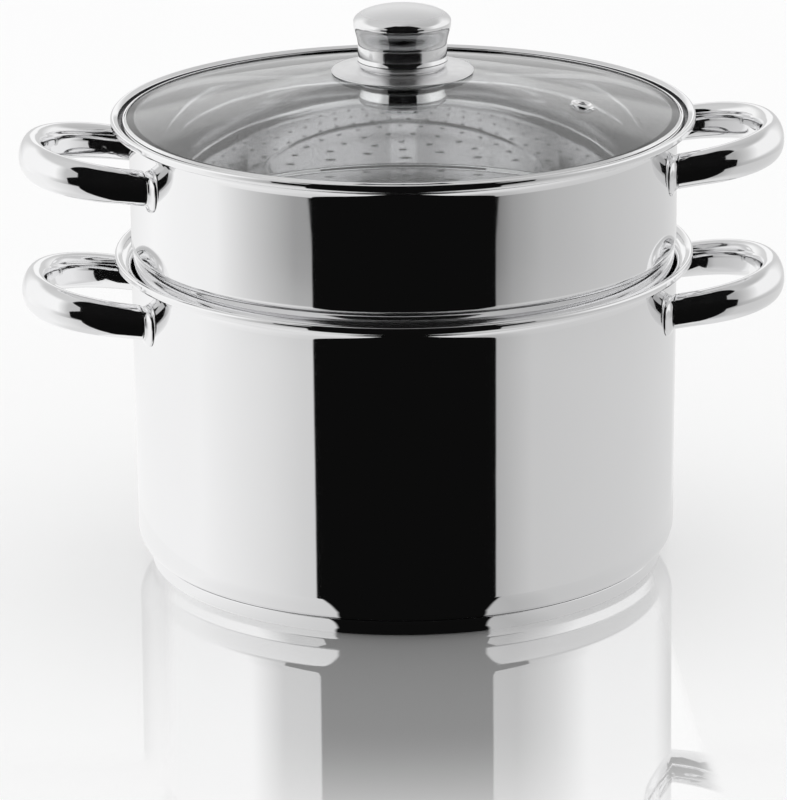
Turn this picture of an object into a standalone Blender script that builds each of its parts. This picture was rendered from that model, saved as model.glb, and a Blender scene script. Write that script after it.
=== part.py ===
"""Casserole with a steamer on top and a glass lid: each piece of the set at its real size.

The pot stands on z = 0 with its axis on +Z. Its handles lie on the X axis and its front faces -Y.
"""

import math

import bmesh
import bpy
from mathutils import Matrix, Vector

MM = 0.001

# Play between pieces that touch on the real set
FIT = 0.3 * MM

# Round pieces
SHELL_SEGMENTS = 48
KNOB_SEGMENTS = 24
CURVE_STEPS = 3

# Casserole
BORE_RADIUS = 119.6 * MM
WALL = 0.8 * MM
POT_HEIGHT = 142.0 * MM
POT_TAPER = 0.7 * MM
POT_CORNER = 12.0 * MM
POT_LIP_OVERHANG = 7.2 * MM

# Rolled lip and flare, alike on both tiers
FLARE_HEIGHT = 8.5 * MM
BEAD_WIDTH = 3.3 * MM
BEAD_HEIGHT = 3.6 * MM

# Capsule base
CAP_SHEET = 0.6 * MM
CAP_STEP = 5.7 * MM
CAP_CORNER = 3.0 * MM
SPREADER_THICKNESS = 4.3 * MM
SPREADER_EDGE_ROOM = 1.6 * MM

# Steamer
STEAMER_STEP = 0.2 * MM
STEAMER_RISE = 61.8 * MM
STEAMER_LIP_OVERHANG = 8.0 * MM
SHOULDER_BOTTOM = 2.3 * MM
SHOULDER_HEIGHT = 3.0 * MM
NECK_SLOPE = 0.03
NEST_DEPTH = 20.0 * MM
NEST_CORNER = 5.0 * MM
RIB_RADIUS = 60.0 * MM
RIB_WIDTH = 5.0 * MM
RIB_HEIGHT = 1.2 * MM
HOLE_DIAMETER = 4.0 * MM
HOLE_PITCH = 16.5 * MM
HOLE_SIDES = 6
HOLE_EDGE_ROOM = 7.0 * MM
STEAMER_TURN = math.radians(2.8)

# Loop handles
HANDLE_REACH = 48.2 * MM
HANDLE_HALF_SPAN = 38.4 * MM
HANDLE_STRAIGHT = 5.0 * MM
HANDLE_SQUARENESS = 2.2
HANDLE_DROP = 20.3 * MM
HANDLE_LIFT = 5.5 * MM
TUBE_WIDTH_AT_FOOT = 11.0 * MM
TUBE_WIDTH_AT_TIP = 10.9 * MM
TUBE_HEIGHT_AT_FOOT = 14.4 * MM
TUBE_HEIGHT_AT_TIP = 17.3 * MM
TUBE_LEAN_AT_TIP = math.radians(6.5)
TUBE_GROWTH = 0.45
TUBE_WALL = 1.0 * MM
TUBE_SQUARENESS = 2.3
TUBE_SIDES = 10
TUBE_STATIONS = 13

# Welding feet of the handles
FOOT_LENGTH = 2.6 * MM
FOOT_FLANGE = 2.6 * MM
FOOT_FLANGE_SHEET = 0.9 * MM
FOOT_SPIGOT = 4.0 * MM

# Lid
LID_PLAY = 1.6 * MM
BAND_SHEET = 0.5 * MM
BAND_WIDTH = 2.1 * MM
BAND_DEPTH = 0.9 * MM
BAND_LOWER_WIDTH = 3.0 * MM
GLASS_THICKNESS = 3.4 * MM
GLASS_RISE = 20.8 * MM
GLASS_FLAT = 15.0 * MM
GLASS_BEND = 20.0 * MM
GLASS_STEPS = 5
SCREW_HOLE_DIAMETER = 8.0 * MM
VENT_DISTANCE = 81.2 * MM
VENT_ANGLE = math.radians(-19.0)
VENT_BORE = 4.0 * MM
VENT_BARREL = 1.2 * MM
VENT_FLANGE = 2.0 * MM
VENT_SHEET = 0.6 * MM

# Knob, from the plate upwards
PLATE_DIAMETER = 62.4 * MM
PLATE_SHEET = 0.6 * MM
BASE_RING_HEIGHT = 2.9 * MM
BASE_RING_FOOT_RADIUS = 17.8 * MM
KNOB_RIM_RADIUS = 19.9 * MM
KNOB_RIM_HEIGHT = 1.5 * MM
KNOB_WAIST_RADIUS = 19.5 * MM
KNOB_WAIST_HEIGHT = 9.3 * MM
KNOB_CAP_RADIUS = 21.4 * MM
KNOB_CAP_LEVEL = 16.8 * MM
KNOB_DOME_RISE = 6.8 * MM
KNOB_SHEET = 1.0 * MM
INSERT_ROOM = 2.0 * MM

# Fastening of the knob, from above and from below the glass
SCREW_DIAMETER = 5.0 * MM
SCREW_HEAD_DIAMETER = 9.0 * MM
SCREW_HEAD_HEIGHT = 2.6 * MM
SCREW_GRIP = 9.0 * MM
INSERT_RADIUS = 7.0 * MM
INSERT_FLANGE = 1.6 * MM
INSERT_SIDES = 12
SEAL_RADIUS = 13.0 * MM
SEAL_THICKNESS = 1.0 * MM
WASHER_RADIUS = 7.5 * MM
WASHER_THICKNESS = 1.0 * MM
CUP_WAIST_RADIUS = 18.2 * MM
CUP_FOOT_RADIUS = 19.6 * MM
CUP_HEIGHT = 11.7 * MM
CUP_SHEET = 0.8 * MM

# Places that follow from the sizes above
POT_RADIUS = BORE_RADIUS + WALL
POT_BOTTOM_RADIUS = POT_RADIUS - POT_TAPER
CAP_RADIUS = POT_BOTTOM_RADIUS - CAP_STEP
POT_UNDERSIDE = CAP_SHEET + FIT + SPREADER_THICKNESS + FIT
POT_LIP_RADIUS = POT_RADIUS + POT_LIP_OVERHANG
STEAMER_RADIUS = POT_RADIUS - STEAMER_STEP
STEAMER_HEIGHT = POT_HEIGHT + STEAMER_RISE
STEAMER_LIP_RADIUS = STEAMER_RADIUS + STEAMER_LIP_OVERHANG
NEST_UNDERSIDE = POT_HEIGHT - NEST_DEPTH
FLOOR_TOP = NEST_UNDERSIDE + WALL
NEST_RADIUS = BORE_RADIUS - FIT - NECK_SLOPE * (NEST_DEPTH - FLARE_HEIGHT)
LID_RADIUS = STEAMER_LIP_RADIUS - BEAD_WIDTH - LID_PLAY
GLASS_RADIUS = LID_RADIUS - BAND_SHEET - FIT
GLASS_EDGE_TOP = STEAMER_HEIGHT - BAND_DEPTH - BAND_SHEET - FIT
APEX = GLASS_EDGE_TOP + GLASS_RISE
PLATE_UNDERSIDE = APEX + FIT
PLATE_TOP = PLATE_UNDERSIDE + PLATE_SHEET
RING_BOTTOM = PLATE_TOP + FIT
WAIST_BOTTOM = RING_BOTTOM + BASE_RING_HEIGHT + FIT
SEAL_TOP = APEX - GLASS_THICKNESS - FIT
CUP_TOP = SEAL_TOP - SEAL_THICKNESS - FIT
WASHER_TOP = CUP_TOP - CUP_SHEET - FIT
HEAD_TOP = WASHER_TOP - WASHER_THICKNESS - FIT


# Scene and materials
def clear_scene():
    for thing in list(bpy.data.objects):
        bpy.data.objects.remove(thing, do_unlink=True)


def material(name, colour, roughness, metallic, transmission=0.0):
    made = bpy.data.materials.new(name)
    made.use_nodes = True
    shader = made.node_tree.nodes["Principled BSDF"]
    shader.inputs["Base Color"].default_value = (*colour, 1.0)
    shader.inputs["Roughness"].default_value = roughness
    shader.inputs["Metallic"].default_value = metallic
    shader.inputs["Transmission Weight"].default_value = transmission
    return made


# Mesh helpers
def finish_mesh(name, mesh, look, smooth=True):
    """Turns a filled bmesh into a named object with its faces outwards."""
    bmesh.ops.recalc_face_normals(mesh, faces=mesh.faces[:])
    data = bpy.data.meshes.new(name)
    mesh.to_mesh(data)
    mesh.free()
    data.materials.append(look)
    if smooth:
        data.shade_smooth()
        data.set_sharp_from_angle(angle=math.radians(35))
    thing = bpy.data.objects.new(name, data)
    bpy.context.collection.objects.link(thing)
    return thing


def turned(name, outline, look, segments=SHELL_SEGMENTS, closed=True):
    """Spins an outline of (radius, height) points round Z.

    A closed outline makes a ring. An open one starts and ends on the axis and makes a solid.
    """
    mesh = bmesh.new()
    points = [mesh.verts.new((radius, 0, height)) for radius, height in outline]
    edges = [mesh.edges.new(pair) for pair in zip(points, points[1:])]
    if closed:
        edges.append(mesh.edges.new((points[-1], points[0])))
    bmesh.ops.spin(
        mesh,
        geom=points + edges,
        cent=(0, 0, 0),
        axis=(0, 0, 1),
        angle=2 * math.pi,
        steps=segments,
        use_merge=True,
    )
    bmesh.ops.remove_doubles(mesh, verts=mesh.verts[:], dist=1e-6)
    return finish_mesh(name, mesh, look)


def lofted(name, rings, look, closed=False):
    """Joins rings of points with faces, and fills both ends unless the rings close on themselves."""
    mesh = bmesh.new()
    loops = [[mesh.verts.new(point) for point in ring] for ring in rings]
    pairs = list(zip(loops, loops[1:]))
    if closed:
        pairs.append((loops[-1], loops[0]))
    for low, high in pairs:
        for i in range(len(low)):
            j = (i + 1) % len(low)
            mesh.faces.new((low[i], low[j], high[j], high[i]))
    if not closed:
        mesh.faces.new(loops[0])
        mesh.faces.new(loops[-1])
    return finish_mesh(name, mesh, look)


def cut(thing, cutter):
    """Takes the cutter out of the thing and hides the cutter."""
    cutter.hide_render = True
    cutter.display_type = "WIRE"
    modifier = thing.modifiers.new(cutter.name, "BOOLEAN")
    modifier.operation = "DIFFERENCE"
    modifier.object = cutter
    modifier.solver = "EXACT"


def arc(centre, radii, start, end, steps=CURVE_STEPS):
    """Points on an ellipse's arc, both ends included, with its angles in degrees."""
    angles = [math.radians(start + (end - start) * i / steps) for i in range(steps + 1)]
    return [
        (centre[0] + radii[0] * math.cos(angle), centre[1] + radii[1] * math.sin(angle))
        for angle in angles
    ]


# Rolled lip
def lip_outline(wall_radius, lip_radius, top):
    """The lip's outline from the bore up over the bead and down to the outer wall."""
    bead_inner = lip_radius - BEAD_WIDTH
    bore = wall_radius - WALL
    bead_bottom = top - BEAD_HEIGHT
    foot = top - FLARE_HEIGHT
    inside = arc((bead_inner, foot), (bead_inner - bore, FLARE_HEIGHT - BEAD_HEIGHT + WALL), 180, 90)
    bead_centre = (lip_radius - BEAD_WIDTH / 2, top - BEAD_HEIGHT / 2)
    bead = arc(bead_centre, (BEAD_WIDTH / 2, BEAD_HEIGHT / 2), 160, -80, 6)
    outside_radii = (bead_inner - wall_radius, bead_bottom - foot)
    outside = arc((bead_inner, foot), outside_radii, 90, 180)
    return inside + bead + outside


def flare_height(radius):
    """Height of the flare's inner face above the steamer's throat, at a radius inside the bead."""
    bead_inner = STEAMER_LIP_RADIUS - BEAD_WIDTH
    bore = STEAMER_RADIUS - WALL
    share = (bead_inner - radius) / (bead_inner - bore)
    return (FLARE_HEIGHT - BEAD_HEIGHT + WALL) * math.sqrt(max(0.0, 1 - share * share))


# Casserole
def casserole_body(look):
    corner_centre = (POT_BOTTOM_RADIUS - POT_CORNER, POT_UNDERSIDE + POT_CORNER)
    outside = arc(corner_centre, (POT_CORNER, POT_CORNER), 0, -90)
    inner_corner = POT_CORNER - WALL
    inside = arc(corner_centre, (inner_corner, inner_corner), -90, 0)
    outline = [(0, POT_UNDERSIDE + WALL)] + inside
    outline += lip_outline(POT_RADIUS, POT_LIP_RADIUS, POT_HEIGHT)
    outline += outside + [(0, POT_UNDERSIDE)]
    return turned("casserole_body", outline, look, closed=False)


def corner_height(radius):
    """Height of the pot's underside at a radius within its bottom corner."""
    across = max(0.0, radius - (POT_BOTTOM_RADIUS - POT_CORNER))
    return POT_UNDERSIDE + POT_CORNER - math.sqrt(POT_CORNER**2 - across**2)


def base_cap(look):
    """The steel dish under the pot that holds the heat spreader."""
    inner = CAP_RADIUS - CAP_SHEET
    corner_centre = (CAP_RADIUS - CAP_CORNER, CAP_CORNER)
    inner_corner = CAP_CORNER - CAP_SHEET
    outline = [(0, CAP_SHEET)]
    outline += arc(corner_centre, (inner_corner, inner_corner), -90, 0, 3)
    outline += [(inner, corner_height(inner) - FIT)]
    outline += [(CAP_RADIUS, corner_height(CAP_RADIUS) - FIT)]
    outline += arc(corner_centre, (CAP_CORNER, CAP_CORNER), 0, -90, 3)
    outline += [(0, 0)]
    return turned("base_cap", outline, look, closed=False)


def heat_spreader(look):
    bottom = CAP_SHEET + FIT
    top = bottom + SPREADER_THICKNESS
    radius = CAP_RADIUS - CAP_SHEET - SPREADER_EDGE_ROOM
    chamfer = SPREADER_THICKNESS / 3
    outline = [
        (0, top),
        (radius - chamfer, top),
        (radius, top - chamfer),
        (radius, bottom + chamfer),
        (radius - chamfer, bottom),
        (0, bottom),
    ]
    return turned("heat_spreader", outline, look, closed=False)


# Steamer
def hole_rings():
    """The rings of floor holes as (radius, count), clear of the pressed rib and of the corner."""
    rings = []
    outermost = NEST_RADIUS - NEST_CORNER - HOLE_EDGE_ROOM
    room = (RIB_WIDTH + HOLE_DIAMETER) / 2
    radius = HOLE_PITCH
    while radius <= outermost:
        if abs(radius - RIB_RADIUS) > room:
            rings.append((radius, 6 * round(radius / HOLE_PITCH)))
        radius += HOLE_PITCH
    return rings


def floor_cutter(look):
    """All the floor holes as one cutter."""
    mesh = bmesh.new()
    places = [(0.0, 0.0)]
    for radius, count in hole_rings():
        for i in range(count):
            angle = 2 * math.pi * (i + 0.5) / count
            places.append((radius * math.cos(angle), radius * math.sin(angle)))
    for x, y in places:
        bmesh.ops.create_cone(
            mesh,
            cap_ends=True,
            segments=HOLE_SIDES,
            radius1=HOLE_DIAMETER / 2,
            radius2=HOLE_DIAMETER / 2,
            depth=6 * WALL,
            matrix=Matrix.Translation((x, y, NEST_UNDERSIDE + WALL / 2)),
        )
    return finish_mesh("floor_hole_cutter", mesh, look, smooth=False)


def steamer_body(look):
    shoulder_bottom = POT_HEIGHT + SHOULDER_BOTTOM
    shoulder_top = shoulder_bottom + SHOULDER_HEIGHT
    neck = BORE_RADIUS - FIT + NECK_SLOPE * (SHOULDER_BOTTOM + FLARE_HEIGHT)
    corner_centre = (NEST_RADIUS - NEST_CORNER, NEST_UNDERSIDE + NEST_CORNER)
    inner_corner = NEST_CORNER - WALL
    rib_low = RIB_RADIUS - RIB_WIDTH / 2
    rib_high = RIB_RADIUS + RIB_WIDTH / 2

    outline = [
        (0, FLOOR_TOP),
        (rib_low, FLOOR_TOP),
        (RIB_RADIUS, FLOOR_TOP + RIB_HEIGHT),
        (rib_high, FLOOR_TOP),
    ]
    outline += arc(corner_centre, (inner_corner, inner_corner), -90, 0, 3)
    outline += [(neck - WALL, shoulder_bottom), (STEAMER_RADIUS - WALL, shoulder_top)]
    outline += lip_outline(STEAMER_RADIUS, STEAMER_LIP_RADIUS, STEAMER_HEIGHT)
    outline += [(STEAMER_RADIUS, shoulder_top), (neck, shoulder_bottom)]
    outline += arc(corner_centre, (NEST_CORNER, NEST_CORNER), 0, -90, 3)
    outline += [
        (rib_high, NEST_UNDERSIDE),
        (RIB_RADIUS, NEST_UNDERSIDE + RIB_HEIGHT),
        (rib_low, NEST_UNDERSIDE),
        (0, NEST_UNDERSIDE),
    ]
    body = turned("steamer_body", outline, look, closed=False)
    cut(body, floor_cutter(look))
    return body


# Handles
def tube_section(width, height, lean):
    """Offsets (across, up) round a squarish oval whose top leans back over the loop's opening."""
    offsets = []
    power = 2 / TUBE_SQUARENESS
    for i in range(TUBE_SIDES):
        angle = 2 * math.pi * i / TUBE_SIDES
        across = math.copysign(abs(math.cos(angle)) ** power, math.cos(angle)) * width / 2
        up = math.copysign(abs(math.sin(angle)) ** power, math.sin(angle)) * height / 2
        offsets.append(
            (across * math.cos(lean) - up * math.sin(lean), across * math.sin(lean) + up * math.cos(lean))
        )
    return offsets


def handle_plan(wall_radius):
    """The loop's centre line in plan, (outward, sideways), from one straight leg to the other."""
    start = wall_radius + HANDLE_STRAIGHT
    depth = wall_radius + HANDLE_REACH - TUBE_WIDTH_AT_TIP / 2 - start
    power = 2 / HANDLE_SQUARENESS
    points = []
    for i in range(TUBE_STATIONS):
        angle = math.pi * i / (TUBE_STATIONS - 1)
        sideways = math.copysign(abs(math.cos(angle)) ** power, -math.cos(angle))
        points.append((start + depth * math.sin(angle) ** power, sideways * HANDLE_HALF_SPAN))
    return points


def handle_rings(wall_radius, lip_top, inset):
    """Rings of the tube along the loop. The inset makes them smaller, for the bore of the tube."""
    plan = handle_plan(wall_radius)
    end_radius = wall_radius + FIT + FOOT_LENGTH
    tip = plan[len(plan) // 2][0]
    base_height = lip_top - HANDLE_DROP

    def height(outward):
        return base_height + HANDLE_LIFT * (outward - end_radius) / (tip - end_radius)

    rings = []
    for i, (outward, sideways) in enumerate(plan):
        before = plan[max(0, i - 1)]
        after = plan[min(len(plan) - 1, i + 1)]
        along = Vector((after[0] - before[0], after[1] - before[1]))
        if i in (0, len(plan) - 1):
            along = Vector((1 if i == 0 else -1, 0))
        along.normalize()
        share = ((outward - end_radius) / (tip - end_radius)) ** TUBE_GROWTH
        width = TUBE_WIDTH_AT_FOOT + (TUBE_WIDTH_AT_TIP - TUBE_WIDTH_AT_FOOT) * share
        tall = TUBE_HEIGHT_AT_FOOT + (TUBE_HEIGHT_AT_TIP - TUBE_HEIGHT_AT_FOOT) * share
        ring = []
        for across, up in tube_section(width - 2 * inset, tall - 2 * inset, TUBE_LEAN_AT_TIP * share):
            x = outward + across * along.y
            y = sideways - across * along.x
            ring.append(Vector((x, y, height(outward) + up)))
        rings.append(ring)
    for end, neighbour in ((0, rings[0]), (-1, rings[-1])):
        ring = []
        for point in neighbour:
            outward = math.sqrt(end_radius**2 - point.y**2)
            ring.append(Vector((outward, point.y, point.z - height(point.x) + height(outward))))
        rings.insert(0 if end == 0 else len(rings), ring)
    return rings


def place_round_axis(thing, angle):
    thing.rotation_euler = (0, 0, angle)


def handle(name, wall_radius, lip_top, angle, look):
    outer = handle_rings(wall_radius, lip_top, 0)
    bore = handle_rings(wall_radius, lip_top, TUBE_WALL)
    tube = lofted(name, outer + bore[::-1], look, closed=True)
    place_round_axis(tube, angle)
    return tube


def handle_foot(name, wall_radius, lip_top, side, angle, look):
    """The flared foot between a leg of the loop and the wall, with a spigot into the tube."""
    order = -1 if side > 0 else 1
    outer = handle_rings(wall_radius, lip_top, 0)[::order]
    spigot = handle_rings(wall_radius, lip_top, TUBE_WALL + FIT)[::order]
    middle = sum(outer[0], Vector()) / len(outer[0])
    share = FOOT_SPIGOT / (spigot[2][0] - spigot[1][0]).length

    def wall_ring(points, radius, grow):
        made = []
        for point in points:
            out = Vector((0, point.y - middle.y, point.z - middle.z))
            moved = point + out.normalized() * grow
            moved.x = math.sqrt(radius**2 - moved.y**2)
            made.append(moved)
        return made

    near = wall_radius + FIT
    face = wall_radius + FOOT_LENGTH
    rings = [
        [low.lerp(high, share) for low, high in zip(spigot[1], spigot[2])],
        spigot[1],
        wall_ring(spigot[0], face, 0),
        wall_ring(outer[0], face, 0),
        wall_ring(outer[0], near + FOOT_LENGTH / 2, FOOT_FLANGE / 5),
        wall_ring(outer[0], near + FOOT_FLANGE_SHEET, FOOT_FLANGE),
        wall_ring(outer[0], near, FOOT_FLANGE),
    ]
    foot = lofted(name, rings, look)
    place_round_axis(foot, angle)
    return foot


def tier_handles(tier, wall_radius, lip_top, turn, look):
    for word, angle in (("left", math.pi + turn), ("right", turn)):
        handle(f"{tier}_handle_{word}", wall_radius, lip_top, angle, look)
        for side in (-1, 1):
            facing_front = (side < 0) == (word == "right")
            place = "front" if facing_front else "back"
            name = f"{tier}_handle_foot_{word}_{place}"
            handle_foot(name, wall_radius, lip_top, side, angle, look)


# Lid
def bend_drop(radius):
    """How far a curve falls that is flat in the middle, then bends into a cone of slope 1."""
    return math.hypot(max(0.0, radius - GLASS_FLAT), GLASS_BEND) - GLASS_BEND


def glass_top(radius):
    """Height of the glass's upper face: flat under the knob, and nearly a cone outside it."""
    return APEX - GLASS_RISE * bend_drop(radius) / bend_drop(GLASS_RADIUS)


def band_under(radius):
    """Height of the band's underside, which lies on the steamer's flare."""
    return STEAMER_HEIGHT - FLARE_HEIGHT + flare_height(radius) + FIT


def lid_band(look):
    inner_low = LID_RADIUS - BAND_LOWER_WIDTH
    middle = (inner_low + LID_RADIUS) / 2
    top = STEAMER_HEIGHT - BAND_DEPTH
    groove = LID_RADIUS - BAND_SHEET
    inner_top = LID_RADIUS - BAND_WIDTH
    outline = [
        (inner_top, glass_top(inner_top) + FIT),
        (inner_top, glass_top(inner_top) + FIT + BAND_SHEET),
        (groove, top),
        (LID_RADIUS, top - BAND_SHEET),
        (LID_RADIUS, band_under(LID_RADIUS)),
        (middle, band_under(middle)),
        (inner_low, band_under(inner_low)),
        (inner_low, band_under(inner_low) + BAND_SHEET),
        (middle, band_under(middle) + BAND_SHEET),
        (groove, band_under(groove) + BAND_SHEET),
        (groove, top - BAND_SHEET),
    ]
    return turned("lid_band", outline, look)


def glass_under_edge(radius):
    """Height of the ground lower edge of the glass, which lies in the band."""
    return band_under(radius) + BAND_SHEET + FIT


def vent_matrix():
    """Frame of the vent: on the glass's upper face, with Z square to the glass."""
    slope = (glass_top(VENT_DISTANCE - MM) - glass_top(VENT_DISTANCE + MM)) / (2 * MM)
    place = Matrix.Rotation(VENT_ANGLE, 4, "Z")
    place = place @ Matrix.Translation((VENT_DISTANCE, 0, glass_top(VENT_DISTANCE)))
    return place @ Matrix.Rotation(math.atan(slope), 4, "Y")


def lid_glass(look):
    inner_low = LID_RADIUS - BAND_LOWER_WIDTH
    middle = (inner_low + LID_RADIUS) / 2
    hole = SCREW_HOLE_DIAMETER / 2
    radii = [hole + (GLASS_RADIUS - hole) * (i / GLASS_STEPS) ** 1.5 for i in range(GLASS_STEPS + 1)]
    outline = [(radius, glass_top(radius)) for radius in radii]
    outline += [(GLASS_RADIUS, glass_under_edge(GLASS_RADIUS)), (middle, glass_under_edge(middle))]
    below = [radius for radius in radii if radius < inner_low]
    outline += [(radius, glass_top(radius) - GLASS_THICKNESS) for radius in reversed(below)]
    glass = turned("lid_glass", outline, look)
    mesh = bmesh.new()
    cutter_radius = VENT_BORE / 2 + VENT_BARREL + FIT
    bmesh.ops.create_cone(
        mesh,
        cap_ends=True,
        segments=12,
        radius1=cutter_radius,
        radius2=cutter_radius,
        depth=4 * GLASS_THICKNESS,
        matrix=vent_matrix(),
    )
    cut(glass, finish_mesh("vent_hole_cutter", mesh, look, smooth=False))
    return glass


def vent_grommet(look):
    """Steel eyelet rolled over both faces of the glass."""
    bore = VENT_BORE / 2
    barrel = bore + VENT_BARREL
    flange = barrel + VENT_FLANGE
    above = FIT
    below = -GLASS_THICKNESS - FIT
    outline = [
        (bore, above + VENT_SHEET),
        (flange - VENT_SHEET, above + VENT_SHEET),
        (flange, above),
        (barrel, above),
        (barrel, below),
        (flange, below),
        (flange - VENT_SHEET, below - VENT_SHEET),
        (bore, below - VENT_SHEET),
    ]
    grommet = turned("vent_grommet", outline, look, segments=12)
    grommet.matrix_world = vent_matrix()
    return grommet


# Knob
def knob_plate(look):
    """Dished steel disc between the knob and the glass."""
    rim = PLATE_DIAMETER / 2
    hole = SCREW_HOLE_DIAMETER / 2
    rim_under = glass_top(rim) + FIT
    outline = [
        (hole, PLATE_TOP),
        (BASE_RING_FOOT_RADIUS, PLATE_TOP),
        (rim - PLATE_SHEET / 2, rim_under + PLATE_SHEET),
        (rim, rim_under + PLATE_SHEET / 2),
        (rim - PLATE_SHEET / 4, rim_under),
        (BASE_RING_FOOT_RADIUS, PLATE_UNDERSIDE),
        (hole, PLATE_UNDERSIDE),
    ]
    return turned("knob_plate", outline, look, segments=SHELL_SEGMENTS)


def knob_base_ring(look):
    """Tapered ring that closes the knob from below."""
    bore = SCREW_HOLE_DIAMETER / 2
    top = RING_BOTTOM + BASE_RING_HEIGHT
    round_radii = (KNOB_RIM_RADIUS - BASE_RING_FOOT_RADIUS, BASE_RING_HEIGHT)
    outline = [(bore, top)]
    outline += arc((BASE_RING_FOOT_RADIUS, top), round_radii, 0, -90)
    outline += [(bore, RING_BOTTOM)]
    return turned("knob_base_ring", outline, look, segments=KNOB_SEGMENTS)


def knob_skin(inset):
    """Outline of the knob's shell from its rim up to the crown, moved inwards by the inset."""
    waist = KNOB_WAIST_RADIUS - inset
    cap = KNOB_CAP_RADIUS - inset
    waist_top = WAIST_BOTTOM + KNOB_WAIST_HEIGHT
    level = WAIST_BOTTOM + KNOB_CAP_LEVEL
    skin = [(KNOB_RIM_RADIUS - inset, WAIST_BOTTOM), (waist, WAIST_BOTTOM + KNOB_RIM_HEIGHT)]
    for i in range(CURVE_STEPS + 1):
        swell = (cap - waist) * (0.5 - 0.5 * math.cos(math.pi * i / CURVE_STEPS))
        skin.append((waist + swell, waist_top + (level - waist_top) * i / CURVE_STEPS))
    skin += arc((0, level), (cap, KNOB_DOME_RISE - inset), 0, 90, 6)[1:]
    return skin


def knob_shell(look):
    """Drawn steel shell: a drawn-in waist and a wider domed cap, open below."""
    outline = list(reversed(knob_skin(KNOB_SHEET))) + knob_skin(0)
    return turned("knob_shell", outline, look, segments=KNOB_SEGMENTS, closed=False)


def knob_insert(look):
    """Threaded core that the screw holds: a boss on a flange that fills the shell's bore."""
    flange_radius = KNOB_WAIST_RADIUS - KNOB_SHEET - FIT
    crown_inside = WAIST_BOTTOM + KNOB_CAP_LEVEL + KNOB_DOME_RISE - KNOB_SHEET
    top = crown_inside - INSERT_ROOM
    bore = SCREW_DIAMETER / 2 + FIT
    outline = [
        (0, WAIST_BOTTOM + SCREW_GRIP + FIT),
        (bore, WAIST_BOTTOM + SCREW_GRIP + FIT),
        (bore, WAIST_BOTTOM),
        (flange_radius, WAIST_BOTTOM),
        (flange_radius, WAIST_BOTTOM + INSERT_FLANGE),
        (INSERT_RADIUS, WAIST_BOTTOM + INSERT_FLANGE),
        (INSERT_RADIUS, top),
        (0, top),
    ]
    return turned("knob_insert", outline, look, segments=KNOB_SEGMENTS, closed=False)


def knob_screw(look):
    head = SCREW_HEAD_DIAMETER / 2
    shank = SCREW_DIAMETER / 2
    outline = [
        (0, WAIST_BOTTOM + SCREW_GRIP),
        (shank, WAIST_BOTTOM + SCREW_GRIP),
        (shank, HEAD_TOP),
        (head, HEAD_TOP),
        (head * 0.85, HEAD_TOP - SCREW_HEAD_HEIGHT),
        (0, HEAD_TOP - SCREW_HEAD_HEIGHT),
    ]
    return turned("knob_screw", outline, look, segments=INSERT_SIDES, closed=False)


def flat_ring(name, bore, radius, top, thickness, look):
    outline = [(bore, top), (radius, top), (radius, top - thickness), (bore, top - thickness)]
    return turned(name, outline, look, segments=KNOB_SEGMENTS)


def knob_lower_cup(look):
    """Waisted steel cup that clamps the glass from below."""
    bore = SCREW_DIAMETER / 2 + FIT
    bottom = CUP_TOP - CUP_HEIGHT
    foot_centre = (CUP_FOOT_RADIUS - CUP_HEIGHT / 4, bottom + CUP_HEIGHT / 4)

    def skin(inset):
        foot_radius = CUP_HEIGHT / 4 - inset
        points = [(CUP_WAIST_RADIUS - inset, CUP_TOP - inset)]
        points += [(CUP_WAIST_RADIUS - inset, CUP_TOP - CUP_HEIGHT * 0.4)]
        return points + arc(foot_centre, (foot_radius, foot_radius), 15, -80, 3)

    outline = [(bore, CUP_TOP)] + skin(0)
    outline += list(reversed(skin(CUP_SHEET))) + [(bore, CUP_TOP - CUP_SHEET)]
    return turned("knob_lower_cup", outline, look, segments=KNOB_SEGMENTS)


def build():
    clear_scene()
    polished = material("polished_steel", (0.80, 0.80, 0.81), 0.06, 1.0)
    satin = material("satin_steel", (0.66, 0.66, 0.67), 0.22, 1.0)
    aluminium = material("aluminium", (0.75, 0.75, 0.76), 0.40, 1.0)
    glass = material("clear_glass", (0.95, 0.97, 0.97), 0.02, 0.0, 1.0)
    silicone = material("silicone", (0.75, 0.75, 0.74), 0.60, 0.0)

    casserole_body(polished)
    heat_spreader(aluminium)
    base_cap(satin)
    tier_handles("casserole", POT_RADIUS, POT_HEIGHT, 0.0, polished)

    steamer_body(polished)
    tier_handles("steamer", STEAMER_RADIUS, STEAMER_HEIGHT, STEAMER_TURN, polished)

    lid_glass(glass)
    lid_band(polished)
    vent_grommet(polished)
    knob_plate(polished)
    knob_base_ring(polished)
    knob_shell(polished)
    knob_insert(aluminium)
    knob_screw(satin)
    flat_ring("knob_seal", SCREW_HOLE_DIAMETER / 2, SEAL_RADIUS, SEAL_TOP, SEAL_THICKNESS, silicone)
    washer_bore = SCREW_DIAMETER / 2 + FIT
    flat_ring("knob_washer", washer_bore, WASHER_RADIUS, WASHER_TOP, WASHER_THICKNESS, satin)
    knob_lower_cup(polished)


build()
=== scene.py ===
"""Looks of the two-tier casserole: polished steel and glass in a plain light tent."""

import math

import bmesh
import bpy
from mathutils import Matrix, Vector


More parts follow.
